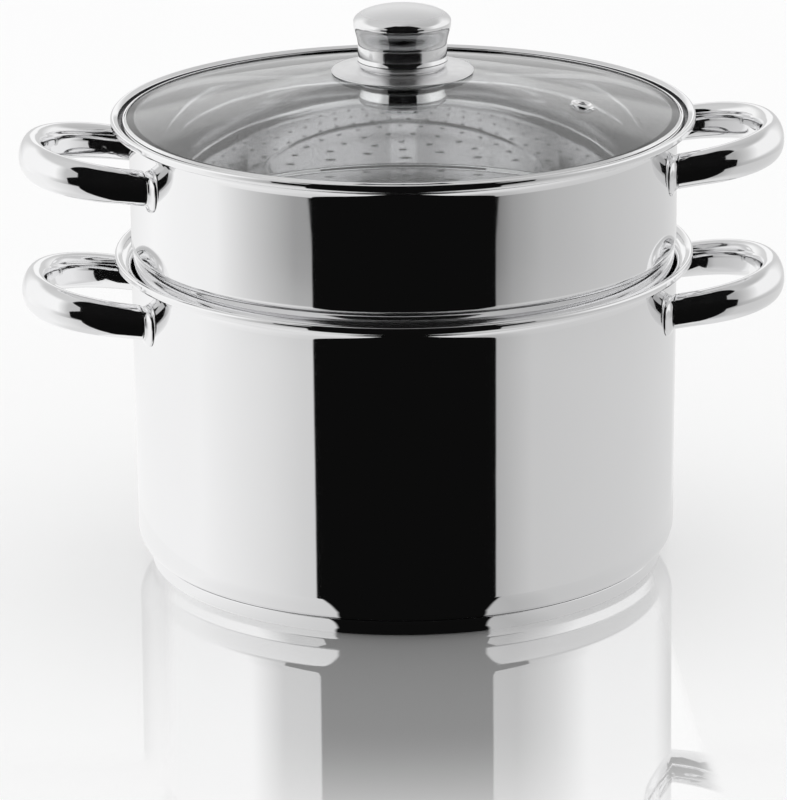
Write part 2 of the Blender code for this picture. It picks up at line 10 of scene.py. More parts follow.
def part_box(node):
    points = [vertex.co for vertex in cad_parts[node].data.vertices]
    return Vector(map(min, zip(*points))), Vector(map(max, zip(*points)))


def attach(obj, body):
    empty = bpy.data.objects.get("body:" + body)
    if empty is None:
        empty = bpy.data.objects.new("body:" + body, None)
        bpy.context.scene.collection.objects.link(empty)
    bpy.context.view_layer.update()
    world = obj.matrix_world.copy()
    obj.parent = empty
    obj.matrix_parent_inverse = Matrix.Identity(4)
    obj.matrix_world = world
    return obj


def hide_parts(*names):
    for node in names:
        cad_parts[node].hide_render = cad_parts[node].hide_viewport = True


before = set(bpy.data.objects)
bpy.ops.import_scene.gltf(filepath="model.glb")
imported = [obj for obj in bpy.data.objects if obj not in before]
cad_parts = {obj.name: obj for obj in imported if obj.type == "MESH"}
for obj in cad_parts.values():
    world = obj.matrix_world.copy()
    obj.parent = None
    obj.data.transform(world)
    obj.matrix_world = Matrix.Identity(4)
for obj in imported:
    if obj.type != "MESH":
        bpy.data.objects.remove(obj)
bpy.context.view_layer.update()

MM = 0.001

# Fineness of the turned and swept surfaces
SHELL_SEGMENTS = 288
KNOB_SEGMENTS = 144
SMALL_SEGMENTS = 48
ARC_STEPS = 14
DOME_STEPS = 40
GLASS_STEPS = 60
TUBE_SIDES = 48
TUBE_STATIONS = 120
HOLE_SIDES = 20
SUPPORT = 0.4 * MM
SHARP_ANGLE = math.radians(38)
# Points closer than this count as one
TOUCHING = 1e-7

# Sheets, play, and the least gap between faces that would meet
WALL = 0.8 * MM
PLAY = 0.3 * MM
HAIR = 0.02 * MM

# Rolled lip and flare of both tiers
FLARE_HEIGHT = 8.5 * MM
BEAD_WIDTH = 3.3 * MM
BEAD_HEIGHT = 3.6 * MM
BEAD_CREST = 1.1 * MM
BEAD_EDGE = 0.4 * MM
BEAD_FALL = 1.25 * MM
# From its crest the bead slopes down inwards: the way the slope faces, in degrees
BEAD_SLOPE_NORMAL = 112
EDGE_STEPS = 6
CREST_STEPS = 12
CURL_STEPS = 10

# Casserole
POT_LIP_OVERHANG = 7.2 * MM
POT_TAPER = 0.7 * MM
POT_CORNER = 12.0 * MM
CAP_CORNER = 3.0 * MM
CAP_SHEET = 0.6 * MM

# Steamer
STEAMER_LIP_OVERHANG = 8.0 * MM
SHOULDER_BOTTOM = 2.3 * MM
SHOULDER_HEIGHT = 3.0 * MM
NECK_SLOPE = 0.03
NEST_CORNER = 5.0 * MM
RIB_RADIUS = 60.0 * MM
RIB_WIDTH = 5.0 * MM
RIB_HEIGHT = 1.2 * MM
HOLE_DIAMETER = 4.0 * MM
HOLE_PITCH = 16.5 * MM
HOLE_RINGS = 6
STEAMER_TURN = math.radians(2.8)
# How many of the flare's uppermost steps lie in the gap round the lid, near-black as painted shade
GAP_STEPS = 4

# Loop handles and their welding feet
HANDLE_REACH = 48.2 * MM
HANDLE_HALF_SPAN = 38.4 * MM
HANDLE_STRAIGHT = 5.0 * MM
HANDLE_SQUARENESS = 2.2
HANDLE_DROP = 20.3 * MM
HANDLE_LIFT = 5.5 * MM
TUBE_WIDTH_AT_FOOT = 11.0 * MM
TUBE_WIDTH_AT_TIP = 10.9 * MM
TUBE_HEIGHT_AT_FOOT = 14.4 * MM
TUBE_HEIGHT_AT_TIP = 17.3 * MM
TUBE_LEAN_AT_TIP = math.radians(6.5)
TUBE_GROWTH = 0.45
TUBE_SQUARENESS_AT_FOOT = 2.8
TUBE_SQUARENESS_AT_TIP = 2.05
FOOT_LENGTH = 2.6 * MM
FOOT_FLANGE = 2.6 * MM
# The flange's share on top of the tube, where it is drawn in instead
FLANGE_ON_TOP = -0.3
# Pairs of the way out from the wall in millimetres and the share of the flange there
FOOT_PROFILE = [
    (0.02, 0.90),
    (0.06, 0.98),
    (0.25, 1.0),
    (0.55, 0.97),
    (0.80, 0.88),
    (1.00, 0.72),
    (1.20, 0.52),
    (1.45, 0.33),
    (1.80, 0.16),
    (2.20, 0.05),
    (2.50, 0.0),
    (2.60, -0.10),
    (2.62, -0.3),
]
# Pairs of the way from the tube's end and the section's growth there, both in millimetres
TUBE_END_PROFILE = [(0.0, -0.4), (0.04, -0.18), (0.15, -0.05), (0.3, 0.0), (0.6, 0.0)]

# Lid
BAND_SHEET = 0.5 * MM
BAND_WIDTH = 2.1 * MM
BAND_DEPTH = 0.9 * MM
BAND_LOWER_WIDTH = 3.0 * MM
BAND_LIP_GAP = 0.1 * MM
BAND_INNER_ROLL = 0.2 * MM
BAND_ROLL = 0.7 * MM
BAND_FALL = 2.1 * MM
# The band's top slopes outwards: the way the slope faces, in degrees
BAND_SLOPE_NORMAL = 45
BAND_STEPS = 6
GLASS_THICKNESS = 3.4 * MM
GLASS_RISE = 20.8 * MM
GLASS_FLAT = 15.0 * MM
GLASS_BEND = 20.0 * MM
SCREW_HOLE_RADIUS = 4.0 * MM
VENT_DISTANCE = 81.2 * MM
VENT_ANGLE = math.radians(-19.0)
VENT_BORE = 4.0 * MM
VENT_BARREL = 1.2 * MM
VENT_FLANGE = 2.0 * MM
VENT_SHEET = 0.6 * MM

# Knob
PLATE_SHEET = 0.6 * MM
PLATE_SEAT_RADIUS = 17.8 * MM
PLATE_CURVE = 2.2
PLATE_EDGE_START = 60
BASE_RING_HEIGHT = 2.9 * MM
KNOB_RIM_RADIUS = 19.9 * MM
KNOB_RIM_HEIGHT = 1.5 * MM
KNOB_WAIST_RADIUS = 19.5 * MM
KNOB_WAIST_HEIGHT = 6.5 * MM
KNOB_CAP_RADIUS = 21.4 * MM
KNOB_CAP_LEVEL = 16.8 * MM
KNOB_DOME_RISE = 6.8 * MM
KNOB_SHEET = 1.0 * MM
KNOB_DULL_FROM = 2.5 * MM
KNOB_DULL_TO = 4.5 * MM
KNOB_DULL_EXTRA = 0.3
CUP_WAIST_RADIUS = 18.2 * MM
CUP_WAIST_SHARE = 0.4
CUP_FOOT_RADIUS = 19.6 * MM
CUP_FOOT_ANGLES = (15, -80)
CUP_SHEET = 0.8 * MM
CUP_HOLE_RADIUS = SCREW_HOLE_RADIUS - 1.2 * MM

# Grain of the steel: scales of its clouds, wear and brush marks, and how far wear spreads
CLOUD_SCALE = 45.0
CLOUD_DARKEST = 0.985
WEAR_SCALE = 260.0
WEAR_SPREAD = 0.2
BRUSH_SCALE = 2600.0

# Floor: radii of its parts, and the sheen's share with the places in metres where it changes
NEAR_FLOOR_RADIUS = 0.16
FAR_FLOOR_RADIUS = 8.0
SHEEN = 0.70
SHEEN_LOSS = 0.52
SHEEN_FADE = (0.22, 0.40)
LANE_EDGE = (0.112, 0.103)
LANE_FRONT = (-0.265, -0.235)
SHEEN_BESIDE_LANE = 0.4
# Painted reflection that steel near the floor sees: pairs of bearing in degrees and grey level
FLOOR_SIDES = [
    (-180, 0.95),
    (-60, 0.93),
    (-39, 0.78),
    (-26, 0.68),
    (24, 0.46),
    (35, 0.58),
    (70, 0.66),
    (180, 0.9),
]
# The black card's foot in that painted reflection on the floor:
# its half width as a bearing, and how that grows per metre
CARD_FOOT_RADIUS = 0.120
CARD_FOOT_HALF = math.radians(17.2)
CARD_FOOT_GROWTH = 2.9
CARD_FOOT_SOFT = 0.01

# Tent: pairs of bearing in degrees and grey level, in bands from low to high
LOW_WALL = [
    (-180, 0.96),
    (-97, 0.95),
    (-60, 0.78),
    (-44, 0.68),
    (40, 0.46),
    (55, 0.60),
    (110, 0.66),
    (160, 0.74),
    (180, 0.96),
]
MIDDLE_WALL = [
    (-180, 0.80),
    (-130, 1.0),
    (-85, 0.92),
    (-66, 0.62),
    (-46, 0.34),
    (38, 0.20),
    (46, 0.34),
    (60, 0.46),
    (90, 0.56),
    (140, 0.66),
    (180, 0.80),
]
HIGH_WALL = [
    (-180, 0.66),
    (-158, 0.72),
    (-140, 0.98),
    (-70, 1.0),
    (-54, 0.55),
    (48, 0.40),
    (66, 0.62),
    (84, 0.95),
    (135, 0.95),
    (158, 0.66),
    (180, 0.66),
]
CEILING = [(-180, 0.60), (-90, 0.66), (0, 0.62), (90, 0.50), (180, 0.60)]
UNDERSIDE = 0.75
# Heights in degrees over which one band passes into the next
TO_LOW_WALL = (-15.5, -17.5)
TO_HIGH_WALL = (-12, -5)
TO_CEILING = (28, 44)
TO_UNDERSIDE = (-40, -60)
# The white patch behind the set: where its side, its lower and its upper edge are, in degrees
PATCH_SIDE = (166, 171)
PATCH_LOW = (9, 12)
PATCH_HIGH = (25, 22)
# The black card: pairs of height and half width in degrees, its edge's softness and its grey
CARD_SHAPE = [
    (-90, 20),
    (-60, 22),
    (-46, 28),
    (-34, 34),
    (-22, 38.5),
    (-15, 38.5),
    (-13.5, 52),
    (0, 52),
    (9, 37),
    (25, 37),
    (40, 52),
    (79, 52),
    (81, 0),
]
CARD_SOFT = 0.005
CARD_GREY = 0.004

# Camera at the photograph's view
CAMERA_DISTANCE = 2200 * MM
CAMERA_HEIGHT = 754.5 * MM
CAMERA_SIDE = math.radians(2.7)
CAMERA_PITCH = math.radians(17.26)
CAMERA_ROLL = math.radians(0.43)
CAMERA_LENS = 232.5
CAMERA_SHIFT = -0.0144
SENSOR_WIDTH = 36.0
CAMERA_REACH = 50.0


# Sizes read from the frame
def radius_of(node):
    low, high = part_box(node)
    return (high[0] - low[0]) / 2


def bottom_of(node):
    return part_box(node)[0][2]


def top_of(node):
    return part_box(node)[1][2]


POT_TOP = top_of("casserole_body")
POT_BOTTOM = bottom_of("casserole_body")
POT_RADIUS = radius_of("casserole_body") - POT_LIP_OVERHANG
CAP_RADIUS = radius_of("base_cap")
STEAMER_TOP = top_of("steamer_body")
STEAMER_BOTTOM = bottom_of("steamer_body")
STEAMER_RADIUS = radius_of("steamer_body") - STEAMER_LIP_OVERHANG
BORE_RADIUS = POT_RADIUS - WALL
NEST_RADIUS = BORE_RADIUS - PLAY - NECK_SLOPE * (POT_TOP - FLARE_HEIGHT - STEAMER_BOTTOM)
LID_RADIUS = radius_of("lid_band")
GLASS_RADIUS = radius_of("lid_glass")
GLASS_EDGE_TOP = STEAMER_TOP - BAND_DEPTH - BAND_SHEET - PLAY
APEX = GLASS_EDGE_TOP + GLASS_RISE
PLATE_RADIUS = radius_of("knob_plate")
PLATE_TOP = top_of("knob_plate")
RING_BOTTOM = bottom_of("knob_base_ring")
KNOB_BOTTOM = bottom_of("knob_shell")
KNOB_LEVEL = KNOB_BOTTOM + KNOB_CAP_LEVEL
CUP_TOP = top_of("knob_lower_cup")
CUP_BOTTOM = bottom_of("knob_lower_cup")


# Node helpers
class Nodes:
    """Short names for making and joining shader nodes."""

    def __init__(self, tree):
        self.tree = tree
        tree.nodes.clear()

    def add(self, kind, inputs=None, **settings):
        node = self.tree.nodes.new(kind)
        for key, value in settings.items():
            setattr(node, key, value)
        for key, value in (inputs or {}).items():
            if isinstance(value, bpy.types.NodeSocket):
                self.tree.links.new(value, node.inputs[key])
            else:
                node.inputs[key].default_value = value
        return node

    def math(self, operation, first, second=0.0):
        node = self.add("ShaderNodeMath", {0: first, 1: second}, operation=operation)
        return node.outputs[0]

    def steps(self, value, low, high):
        """Smooth 0 to 1 as the value goes from low to high."""
        inputs = {"Value": value, "From Min": low, "From Max": high}
        node = self.add("ShaderNodeMapRange", inputs, interpolation_type="SMOOTHSTEP")
        return node.outputs[0]

    def ramp(self, value, stops):
        """Grey level along stops of (place, level), with straight slopes between them."""
        node = self.add("ShaderNodeValToRGB", {"Fac": value})
        node.color_ramp.interpolation = "LINEAR"
        elements = node.color_ramp.elements
        while len(elements) < len(stops):
            elements.new(0.5)
        for element, (place, level) in zip(elements, stops):
            element.position = place
            element.color = (level, level, level, 1.0)
        return node.outputs[0]

    def mix(self, factor, first, second):
        node = self.add("ShaderNodeMix", {"Factor": factor}, data_type="RGBA")
        for socket, value in ((node.inputs[6], first), (node.inputs[7], second)):
            if isinstance(value, bpy.types.NodeSocket):
                self.tree.links.new(value, socket)
            else:
                socket.default_value = value
        return node.outputs[2]

    def bearings(self, turn, levels):
        """Grey level round the vertical axis, from pairs of bearing in degrees and level."""
        return self.ramp(turn, [(0.5 + degrees / 360, level) for degrees, level in levels])

    def noise(self, vector, scale, detail):
        inputs = {"Vector": vector, "Scale": scale, "Detail": detail}
        return self.add("ShaderNodeTexNoise", inputs).outputs["Fac"]


def new_material(name):
    made = bpy.data.materials.new(name)
    made.use_nodes = True
    return made, Nodes(made.node_tree)


def grey(level, tint=0.0):
    """A grey, a little bluer by the tint."""
    return (level, level, level + tint, 1.0)


# Materials
def steel(name, level, rough, waves, wave_size, brushed=0.0, dull=None):
    """Bare steel: faint waves from drawing and polishing, and fine turned brush marks if asked.

    Dull is (low, high, extra): the roughness grows by the extra from one height to the other.
    """
    made, nodes = new_material(name)
    place = nodes.add("ShaderNodeTexCoord").outputs["Object"]
    cloud = nodes.noise(place, CLOUD_SCALE, 3.0)
    tone = nodes.mix(cloud, grey(level * CLOUD_DARKEST, 0.004), grey(level, 0.006))
    worn = nodes.steps(nodes.noise(place, WEAR_SCALE, 2.0), 0.2, 0.8)
    inputs = {
        "Value": worn,
        "To Min": rough * (1 - WEAR_SPREAD),
        "To Max": rough * (1 + WEAR_SPREAD),
    }
    roughness = nodes.add("ShaderNodeMapRange", inputs).outputs[0]
    if dull:
        split = nodes.add("ShaderNodeSeparateXYZ", {"Vector": place})
        share = nodes.steps(split.outputs[2], dull[0], dull[1])
        roughness = nodes.math("ADD", roughness, nodes.math("MULTIPLY", share, dull[2]))
    swell = nodes.noise(place, 1.0 / wave_size, 1.0)
    height = nodes.add("ShaderNodeBump", {"Height": swell, "Strength": 1.0, "Distance": waves})
    normal = height.outputs["Normal"]
    if brushed:
        split = nodes.add("ShaderNodeSeparateXYZ", {"Vector": place})
        across = nodes.math("POWER", split.outputs[0], 2.0)
        along = nodes.math("POWER", split.outputs[1], 2.0)
        radius = nodes.math("SQRT", nodes.math("ADD", across, along))
        rings = nodes.add("ShaderNodeCombineXYZ", {0: radius, 1: split.outputs[2]}).outputs[0]
        lines = nodes.noise(rings, BRUSH_SCALE, 3.0)
        inputs = {"Height": lines, "Strength": 1.0, "Distance": brushed, "Normal": normal}
        normal = nodes.add("ShaderNodeBump", inputs).outputs["Normal"]
    inputs = {
        "Base Color": tone,
        "Metallic": 1.0,
        "Roughness": roughness,
        "Normal": normal,
    }
    shader = nodes.add("ShaderNodeBsdfPrincipled", inputs)
    nodes.add("ShaderNodeOutputMaterial", {"Surface": shader.outputs[0]})
    return made


def clear_glass():
    """Tempered lid glass, with a faint swell from the mould."""
    made, nodes = new_material("clear_glass")
    place = nodes.add("ShaderNodeTexCoord").outputs["Object"]
    swell = nodes.noise(place, 18.0, 1.0)
    height = nodes.add("ShaderNodeBump", {"Height": swell, "Strength": 1.0, "Distance": 0.02 * MM})
    cloud = nodes.noise(place, 9.0, 1.0)
    tone = nodes.mix(cloud, (0.965, 0.975, 0.975, 1), (0.975, 0.985, 0.985, 1))
    inputs = {
        "Base Color": tone,
        "Roughness": 0.0,
        "IOR": 1.5,
        "Transmission Weight": 1.0,
        "Normal": height.outputs["Normal"],
    }
    shader = nodes.add("ShaderNodeBsdfPrincipled", inputs)
    nodes.add("ShaderNodeOutputMaterial", {"Surface": shader.outputs[0]})
    return made


def silicone():
    """Soft seal, slightly mottled."""
    made, nodes = new_material("silicone")
    place = nodes.add("ShaderNodeTexCoord").outputs["Object"]
    cloud = nodes.noise(place, 300.0, 3.0)
    tone = nodes.mix(cloud, grey(0.66), grey(0.74))
    height = nodes.add("ShaderNodeBump", {"Height": cloud, "Strength": 0.4, "Distance": 0.05 * MM})
    inputs = {"Base Color": tone, "Roughness": 0.6, "Normal": height.outputs["Normal"]}
    shader = nodes.add("ShaderNodeBsdfPrincipled", inputs)
    nodes.add("ShaderNodeOutputMaterial", {"Surface": shader.outputs[0]})
    return made


# Steel takes its grey level, its roughness, and the depth and size of its waves
POLISHED = steel("polished_steel", 0.92, 0.035, 0.012 * MM, 24 * MM)
HANDLE_STEEL = steel("handle_steel", 0.92, 0.06, 0.02 * MM, 9 * MM)
CROWN = (KNOB_LEVEL + KNOB_DULL_FROM, KNOB_LEVEL + KNOB_DULL_TO, KNOB_DULL_EXTRA)
KNOB_STEEL = steel("knob_steel", 0.90, 0.07, 0.01 * MM, 8 * MM, dull=CROWN)
DISC = steel("disc_steel", 0.86, 0.34, 0.01 * MM, 12 * MM)
INNER = steel("inner_steel", 0.96, 0.035, 0.05 * MM, 26 * MM)
SEAT = steel("seat_steel", 0.92, 0.075, 0.004 * MM, 24 * MM)
# A darker copy of the steel for the steamer's floor and underside: painted shade inside the pot
SIEVE = steel("sieve_steel", 0.47, 0.09, 0.04 * MM, 26 * MM)
# Near-black steel in the gaps round the lid: painted shade
PAINTED_SHADE_STEEL = steel("painted_shade_steel", 0.06, 0.30, 0.01 * MM, 12 * MM)
SATIN = steel("satin_steel", 0.70, 0.20, 0.01 * MM, 20 * MM, brushed=0.01 * MM)
CAST = steel("aluminium", 0.72, 0.38, 0.03 * MM, 6 * MM)
GLASS = clear_glass()
SILICONE = silicone()


# Outlines
def arc(centre, radii, start, end, steps=ARC_STEPS):
    """Points on an ellipse's arc, both ends included, with its angles in degrees."""
    angles = [math.radians(start + (end - start) * i / steps) for i in range(steps + 1)]
    return [
        (centre[0] + radii[0] * math.cos(angle), centre[1] + radii[1] * math.sin(angle))
        for angle in angles
    ]


def supported(points):
    """Adds points near the ends of each long stretch, so that smooth shading keeps it straight."""
    made = [points[0]]
    for start, end in zip(points, points[1:]):
        length = math.dist(start, end)
        if length > 6 * SUPPORT:
            share = SUPPORT / length
            for part in (share, 1 - share):
                made.append(tuple(a + (b - a) * part for a, b in zip(start, end)))
        made.append(end)
    return made


def lip(wall_radius, lip_radius, top):
    """The lip in three stretches: inside up to the bead, the bead's inner wall, and the outside."""
    bead_inner = lip_radius - BEAD_WIDTH
    bore = wall_radius - WALL
    foot = (bead_inner, top - FLARE_HEIGHT)
    inside = arc(foot, (bead_inner - bore, FLARE_HEIGHT - BEAD_HEIGHT + WALL), 180, 90)
    edge = (bead_inner + BEAD_EDGE, top - BEAD_FALL)
    wall = [inside[-1], (bead_inner, edge[1])]
    bead = arc(edge, (BEAD_EDGE, BEAD_EDGE), 180, BEAD_SLOPE_NORMAL, EDGE_STEPS)
    crest = (lip_radius - BEAD_CREST, top - BEAD_CREST)
    bead += arc(crest, (BEAD_CREST, BEAD_CREST), BEAD_SLOPE_NORMAL, 0, CREST_STEPS)
    curl = (lip_radius - BEAD_CREST, top - BEAD_HEIGHT + BEAD_CREST)
    bead += arc(curl, (BEAD_CREST, BEAD_CREST), 0, -90, CURL_STEPS)
    outside = arc(foot, (bead_inner - wall_radius, FLARE_HEIGHT - BEAD_HEIGHT), 90, 180)
    return inside, wall, bead + outside


def flare_height(radius):
    """Height of the flare's inner face at a radius inside the steamer's bead."""
    bead_inner = STEAMER_RADIUS + STEAMER_LIP_OVERHANG - BEAD_WIDTH
    share = (bead_inner - radius) / (bead_inner - STEAMER_RADIUS + WALL)
    rise = (FLARE_HEIGHT - BEAD_HEIGHT + WALL) * math.sqrt(max(0.0, 1 - share * share))
    return STEAMER_TOP - FLARE_HEIGHT + rise


# Pieces
def as_mesh(name, shape):
    """Turns a shape under construction into a mesh."""
    data = bpy.data.meshes.new(name)
    shape.to_mesh(data)
    shape.free()
    return data


def as_object(name, data):
    """Puts data into the scene as an object."""
    thing = bpy.data.objects.new(name, data)
    bpy.context.collection.objects.link(thing)
    return thing


def placed(name, mesh, looks, body, nodes):
    """Makes the object, lets it ride on its body and stand for its CAD nodes."""
    for look in looks:
        mesh.materials.append(look)
    mesh.shade_smooth()
    mesh.set_sharp_from_angle(angle=SHARP_ANGLE)
    thing = as_object(name, mesh)
    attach(thing, body)
    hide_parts(*nodes)
    return thing


def turned_mesh(name, stretches, segments):
    """Spins stretches of an outline round Z. Each stretch is (look number, points)."""
    mesh = bmesh.new()
    rings = []
    looks = []
    for look, points in stretches:
        for i, (radius, height) in enumerate(supported(points)):
            if rings and i == 0 and math.dist(rings[-1][0], (radius, height)) < TOUCHING:
                continue
            if rings:
                looks.append(look)
            count = 1 if radius < TOUCHING else segments
            ring = []
            for j in range(count):
                angle = 2 * math.pi * j / segments
                corner = (radius * math.cos(angle), radius * math.sin(angle), height)
                ring.append(mesh.verts.new(corner))
            rings.append(((radius, height), ring))
    closed = rings[0][0][0] > TOUCHING
    pairs = list(zip(rings, rings[1:], looks))
    if closed:
        pairs.append((rings[-1], rings[0], looks[-1]))
    for (_, low), (_, high), look in pairs:
        for j in range(segments):
            corners = [low[j % len(low)], low[(j + 1) % len(low)]]
            corners += [high[(j + 1) % len(high)], high[j % len(high)]]
            unique = list(dict.fromkeys(corners))
            if len(unique) < 3:
                continue
            face = mesh.faces.new(unique)
            face.material_index = look
    bmesh.ops.recalc_face_normals(mesh, faces=mesh.faces[:])
    return as_mesh(name, mesh)


def turned(name, stretches, looks, body, nodes, segments=SHELL_SEGMENTS):
    """A piece turned round the set's axis."""
    return placed(name, turned_mesh(name, stretches, segments), looks, body, nodes)


def swept_mesh(name, rings):
    """Joins rings of points with faces and fills the two ends."""
    mesh = bmesh.new()
    loops = [[mesh.verts.new(point) for point in ring] for ring in rings]
    for low, high in zip(loops, loops[1:]):
        for i in range(len(low)):
            j = (i + 1) % len(low)
            mesh.faces.new((low[i], low[j], high[j], high[i]))
    mesh.faces.new(loops[0])
    mesh.faces.new(loops[-1])
    bmesh.ops.recalc_face_normals(mesh, faces=mesh.faces[:])
    return as_mesh(name, mesh)


# Casserole
def casserole():
    """The pot's sheet: mirror outside, wavier inside, and smooth where the steamer sits."""
    bottom = POT_RADIUS - POT_TAPER
    corner = (bottom - POT_CORNER, POT_BOTTOM + POT_CORNER)
    inside, wall, outside = lip(POT_RADIUS, POT_RADIUS + POT_LIP_OVERHANG, POT_TOP)
    inner = [(0, POT_BOTTOM + WALL)] + arc(corner, (POT_CORNER - WALL,) * 2, -90, 0) + inside[:1]
    outer = outside + arc(corner, (POT_CORNER,) * 2, 0, -90) + [(0, POT_BOTTOM)]
    stretches = [(1, inner), (2, inside + wall), (0, outer)]
    looks = [POLISHED, INNER, SEAT]
    turned("casserole_shell", stretches, looks, "casserole", ["casserole_body"])


def base_cap():
    """The steel dish under the pot, polished round its side and satin below."""
    top = top_of("base_cap")
    centre = (CAP_RADIUS - CAP_CORNER, CAP_CORNER)
    edge = (CAP_RADIUS - CAP_SHEET / 2, top - CAP_SHEET / 2)
    outline = [(0, CAP_SHEET)] + arc(centre, (CAP_CORNER - CAP_SHEET,) * 2, -90, 0)
    outline += arc(edge, (CAP_SHEET / 2,) * 2, 180, 0, 8)
    skirt = arc(centre, (CAP_CORNER,) * 2, 0, -90)
    under = [(CAP_RADIUS - CAP_CORNER, 0), (0, 0)]
    stretches = [(0, outline), (0, skirt), (1, under)]
    turned("base_dish", stretches, [POLISHED, SATIN], "casserole", ["base_cap"])


# Steamer
def hole_places():
    """A hole in the middle, and rings of 6, 12, 18 and so on round it."""
    places = [(0.0, 0.0)]
    for ring in range(1, HOLE_RINGS + 1):
        radius = ring * HOLE_PITCH
        for i in range(6 * ring):
            angle = 2 * math.pi * (i + 0.5) / (6 * ring)
            places.append((radius * math.cos(angle), radius * math.sin(angle)))
    return places


def add_pin(cutter, radius, depth, sides, place):
    """Adds a closed cylinder to the mesh of a cutter."""
    bmesh.ops.create_cone(
        cutter,
        cap_ends=True,
        segments=sides,
        radius1=radius,
        radius2=radius,
        depth=depth,
        matrix=place,
    )


def steamer():
    """The insert's sheet, with its rib and holes; painted shade darkens the gap round the lid."""
    shoulder_bottom = POT_TOP + SHOULDER_BOTTOM
    neck = BORE_RADIUS - PLAY + NECK_SLOPE * (SHOULDER_BOTTOM + FLARE_HEIGHT)
    corner = (NEST_RADIUS - NEST_CORNER, STEAMER_BOTTOM + NEST_CORNER)
    floor_top = STEAMER_BOTTOM + WALL
    low = RIB_RADIUS - RIB_WIDTH / 2
    high = RIB_RADIUS + RIB_WIDTH / 2

    def rib(height):
        """The pressed ring of the floor, as one wave."""
        points = []
        for i in range(ARC_STEPS + 1):
            share = i / ARC_STEPS
            rise = RIB_HEIGHT * (0.5 - 0.5 * math.cos(2 * math.pi * share))
            points.append((low + (high - low) * share, height + rise))
        return points

    def shoulder(inset):
        """The bend between the neck and the wall, as half a wave."""
        points = []
        for i in range(ARC_STEPS + 1):
            share = i / ARC_STEPS
            across = 0.5 - 0.5 * math.cos(math.pi * share)
            radius = neck + (STEAMER_RADIUS - neck) * across - inset
            points.append((radius, shoulder_bottom + SHOULDER_HEIGHT * share))
        return points

    lip_radius = STEAMER_RADIUS + STEAMER_LIP_OVERHANG
    inside, wall, outside = lip(STEAMER_RADIUS, lip_radius, STEAMER_TOP)
    bend = arc(corner, (NEST_CORNER - WALL,) * 2, -90, 0)
    sieve = [(0, floor_top)] + rib(floor_top) + bend[:1]
    neck_down = shoulder(0)[::-1] + arc(corner, (NEST_CORNER,) * 2, 0, -90)
    under = [neck_down[-1]] + rib(STEAMER_BOTTOM)[::-1] + [(0, STEAMER_BOTTOM)]
    stretches = [
        # The floor and, further down, the underside take the darker steel: painted shade
        (3, sieve),
        (1, bend + shoulder(WALL) + inside[:-GAP_STEPS]),
        # Painted shade: the flare's top steps and the bead's inner wall in near-black steel
        (2, inside[-GAP_STEPS - 1:] + wall),
        (0, outside + neck_down[:1]),
        (4, neck_down),
        (3, under),
    ]
    looks = [POLISHED, INNER, PAINTED_SHADE_STEEL, SIEVE, SEAT]
    body = turned("steamer_shell", stretches, looks, "steamer", ["steamer_body"])
    cutter = bmesh.new()
    for x, y in hole_places():
        place = Matrix.Translation((x, y, STEAMER_BOTTOM + WALL / 2))
        add_pin(cutter, HOLE_DIAMETER / 2, 6 * WALL, HOLE_SIDES, place)
    cut(body, cutter)


def cut(thing, shape):
    """Takes the cutter's shape out of the thing and leaves no cutter behind."""
    cutter = as_object("cutter", as_mesh("cutter", shape))
    modifier = thing.modifiers.new("holes", "BOOLEAN")
    modifier.operation = "DIFFERENCE"
    modifier.object = cutter
    modifier.solver = "EXACT"
    graph = bpy.context.evaluated_depsgraph_get()
    result = bpy.data.meshes.new_from_object(thing.evaluated_get(graph))
    thing.modifiers.remove(modifier)
    thing.data = result
    bpy.data.objects.remove(cutter, do_unlink=True)


# Handles
def section(width, height, lean, squareness):
    """Offsets (across, up) round a squarish oval whose top leans back over the loop's opening."""
    power = 2 / squareness
    offsets = []
    for i in range(TUBE_SIDES):
        angle = 2 * math.pi * i / TUBE_SIDES
        across = math.copysign(abs(math.cos(angle)) ** power, math.cos(angle)) * width / 2
        up = math.copysign(abs(math.sin(angle)) ** power, math.sin(angle)) * height / 2
        leant = across * math.cos(lean) - up * math.sin(lean)
        offsets.append((leant, across * math.sin(lean) + up * math.cos(lean)))
    return offsets


def between(first, second, share):
    return first + (second - first) * share


